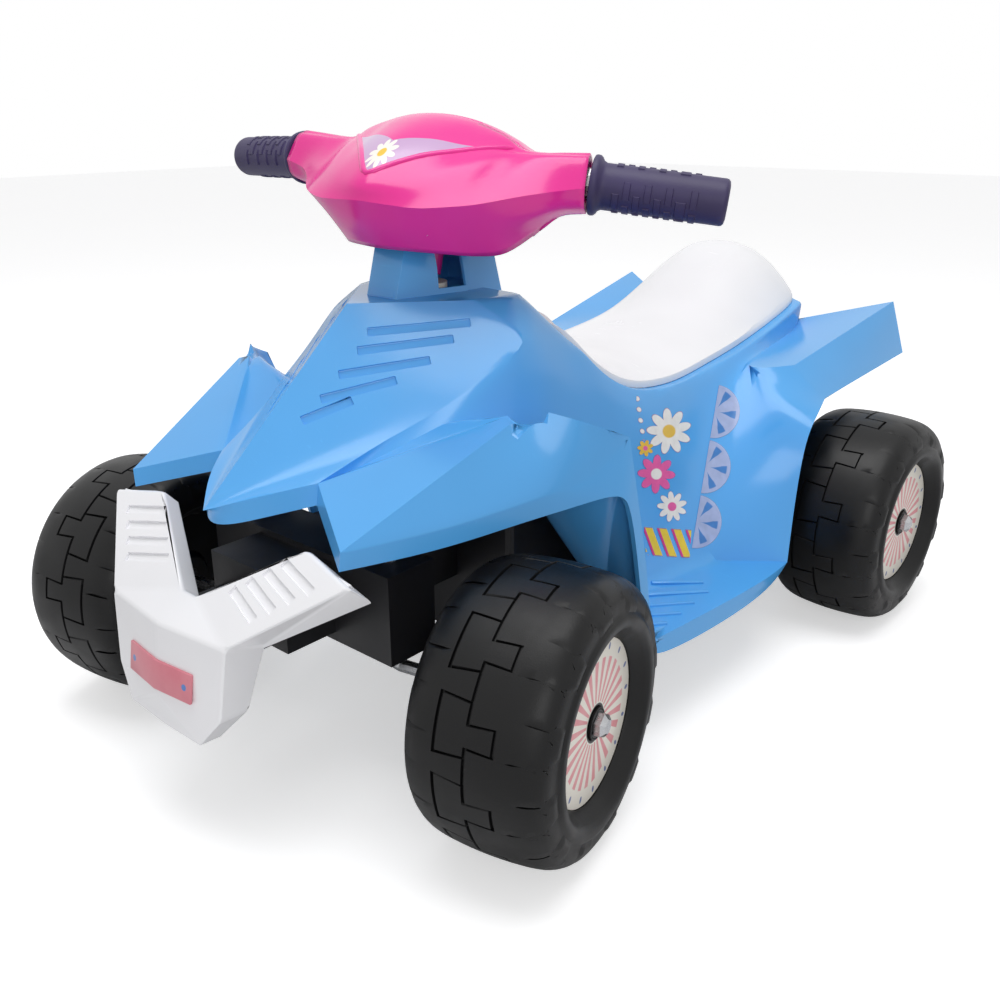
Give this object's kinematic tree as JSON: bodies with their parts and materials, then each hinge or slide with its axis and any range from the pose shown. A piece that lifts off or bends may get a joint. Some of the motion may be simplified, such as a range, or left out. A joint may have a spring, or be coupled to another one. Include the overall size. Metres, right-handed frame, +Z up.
{
  "type": "electric ride-on toy",
  "caption": "Toddler's battery ride-on quad: faceted blue body with footwells, white saddle, turning handlebar, steered front wheels and a geared drive to a rear wheel.",
  "frame": {"origin": "on the ground under the middle of the toy, midway between its front and rear ends", "axes": "+Z up, -Y towards the front bumper, +X towards the rider's left"},
  "size_m": [0.4376, 0.6571, 0.3899],
  "materials": {
    "blue_plastic": "gloss",
    "white_plastic": "gloss",
    "magenta_plastic": "gloss",
    "grip_rubber": "satin",
    "black_plastic": "satin",
    "wheel_plastic": "satin",
    "disc_ivory": "satin",
    "plate_rose": "satin",
    "steel": "satin",
    "brass": "satin",
    "natural_nylon": "satin",
    "grey_plastic": "satin",
    "wire_insulation": "satin"
  },
  "bodies": {
    "chassis": {"body_shell": "blue_plastic", "seat": "white_plastic", "front_bumper": "white_plastic", "bumper_plate": "plate_rose", "front_frame": "black_plastic", "chassis_tub": "black_plastic", "column_upper_bush": "natural_nylon", "column_lower_bush": "natural_nylon", "rear_axle": "steel", "axle_bush_left": "natural_nylon", "axle_bush_right": "natural_nylon", "gearbox_outer_case": "black_plastic", "gearbox_inner_case": "black_plastic", "motor": "steel", "battery": "grey_plastic", "battery_strap": "black_plastic", "battery_plug": "natural_nylon", "battery_lead": "wire_insulation", "axle_nut_rear_left": "steel", "axle_nut_rear_right": "steel"},
    "steering": {"steering_column": "steel", "pitman_arm": "steel", "column_sleeve": "magenta_plastic", "handlebar_tube": "steel", "bar_clamp": "black_plastic", "grip_left": "grip_rubber", "grip_right": "grip_rubber", "bar_cover_front": "magenta_plastic", "bar_cover_rear": "magenta_plastic", "cover_screw_left": "steel", "cover_screw_right": "steel", "drive_switch": "black_plastic", "switch_lead": "wire_insulation"},
    "button": {"drive_button": "grey_plastic"},
    "knuckle_left": {"kingpin_rod_left": "steel", "axle_nut_front_left": "steel"},
    "knuckle_right": {"kingpin_rod_right": "steel", "axle_nut_front_right": "steel"},
    "tie": {"tie_plate": "steel"},
    "front_wheel_left": {"wheel_front_left": "wheel_plastic", "hub_disc_front_left": "disc_ivory", "wheel_bush_front_left": "black_plastic"},
    "front_wheel_right": {"wheel_front_right": "wheel_plastic", "hub_disc_front_right": "disc_ivory", "wheel_bush_front_right": "black_plastic"},
    "rear_wheel_left": {"wheel_rear_left": "wheel_plastic", "hub_disc_rear_left": "disc_ivory", "wheel_bush_rear_left": "black_plastic"},
    "rear_wheel_right": {"wheel_rear_right": "wheel_plastic", "hub_disc_rear_right": "disc_ivory", "wheel_bush_rear_right": "black_plastic", "drive_sleeve": "natural_nylon", "output_gear": "natural_nylon"},
    "second_gear": {"second_gear": "natural_nylon"},
    "first_gear": {"first_gear": "natural_nylon"},
    "pinion": {"motor_pinion": "brass"}
  },
  "joints": [
    {"name": "steering_turn", "type": "hinge", "parent": "chassis", "child": "steering", "pos_m": [0, -0.1, 0.33], "axis": [0, 0.2588, 0.9659], "range_deg": [-27.75, 4.25]},
    {"name": "button_press", "type": "slide", "parent": "steering", "child": "button", "axis": [0.1967, -0.9804, -0.0052], "range_m": [0, 0.003], "stiffness_N_per_m": 200, "springref_m": -0.001},
    {"name": "kingpin_left", "type": "hinge", "parent": "chassis", "child": "knuckle_left", "pos_m": [0.064, -0.2084, 0.0825], "axis": [0, 0, 1], "range_deg": [-27.75, 4.25]},
    {"name": "kingpin_right", "type": "hinge", "parent": "chassis", "child": "knuckle_right", "pos_m": [-0.064, -0.2084, 0.0825], "axis": [0, 0, 1], "range_deg": [-27.75, 4.25]},
    {"name": "tie_pivot", "type": "hinge", "parent": "knuckle_left", "child": "tie", "pos_m": [0.05789, -0.17903, 0.1621], "axis": [0, 0, 1], "range_deg": [-4.25, 27.75]},
    {"name": "front_spin_left", "type": "hinge", "parent": "knuckle_left", "child": "front_wheel_left", "pos_m": [0.15946, -0.18854, 0.0825], "axis": [0.979, 0.2036, 0], "continuous": true},
    {"name": "front_spin_right", "type": "hinge", "parent": "knuckle_right", "child": "front_wheel_right", "pos_m": [-0.15946, -0.22826, 0.0825], "axis": [0.979, 0.2036, 0], "continuous": true},
    {"name": "rear_spin_left", "type": "hinge", "parent": "chassis", "child": "rear_wheel_left", "pos_m": [0.1748, 0.2084, 0.0825], "axis": [1, 0, 0], "continuous": true},
    {"name": "rear_spin_right", "type": "hinge", "parent": "chassis", "child": "rear_wheel_right", "pos_m": [-0.1748, 0.2084, 0.0825], "axis": [1, 0, 0], "continuous": true},
    {"name": "second_gear_spin", "type": "hinge", "parent": "chassis", "child": "second_gear", "pos_m": [-0.115, 0.1866, 0.09044], "axis": [1, 0, 0], "continuous": true},
    {"name": "first_gear_spin", "type": "hinge", "parent": "chassis", "child": "first_gear", "pos_m": [-0.115, 0.16545, 0.09191], "axis": [1, 0, 0], "continuous": true},
    {"name": "pinion_spin", "type": "hinge", "parent": "chassis", "child": "pinion", "pos_m": [-0.109, 0.14471, 0.09632], "axis": [1, 0, 0], "continuous": true}
  ],
  "couplings": [
    {"joint": "kingpin_left", "follows": "steering_turn", "ratio": 1},
    {"joint": "kingpin_right", "follows": "steering_turn", "ratio": 1},
    {"joint": "tie_pivot", "follows": "steering_turn", "ratio": -1},
    {"joint": "second_gear_spin", "follows": "rear_spin_right", "ratio": -3.6},
    {"joint": "first_gear_spin", "follows": "rear_spin_right", "ratio": 11.52},
    {"joint": "pinion_spin", "follows": "rear_spin_right", "ratio": -36.864}
  ]
}
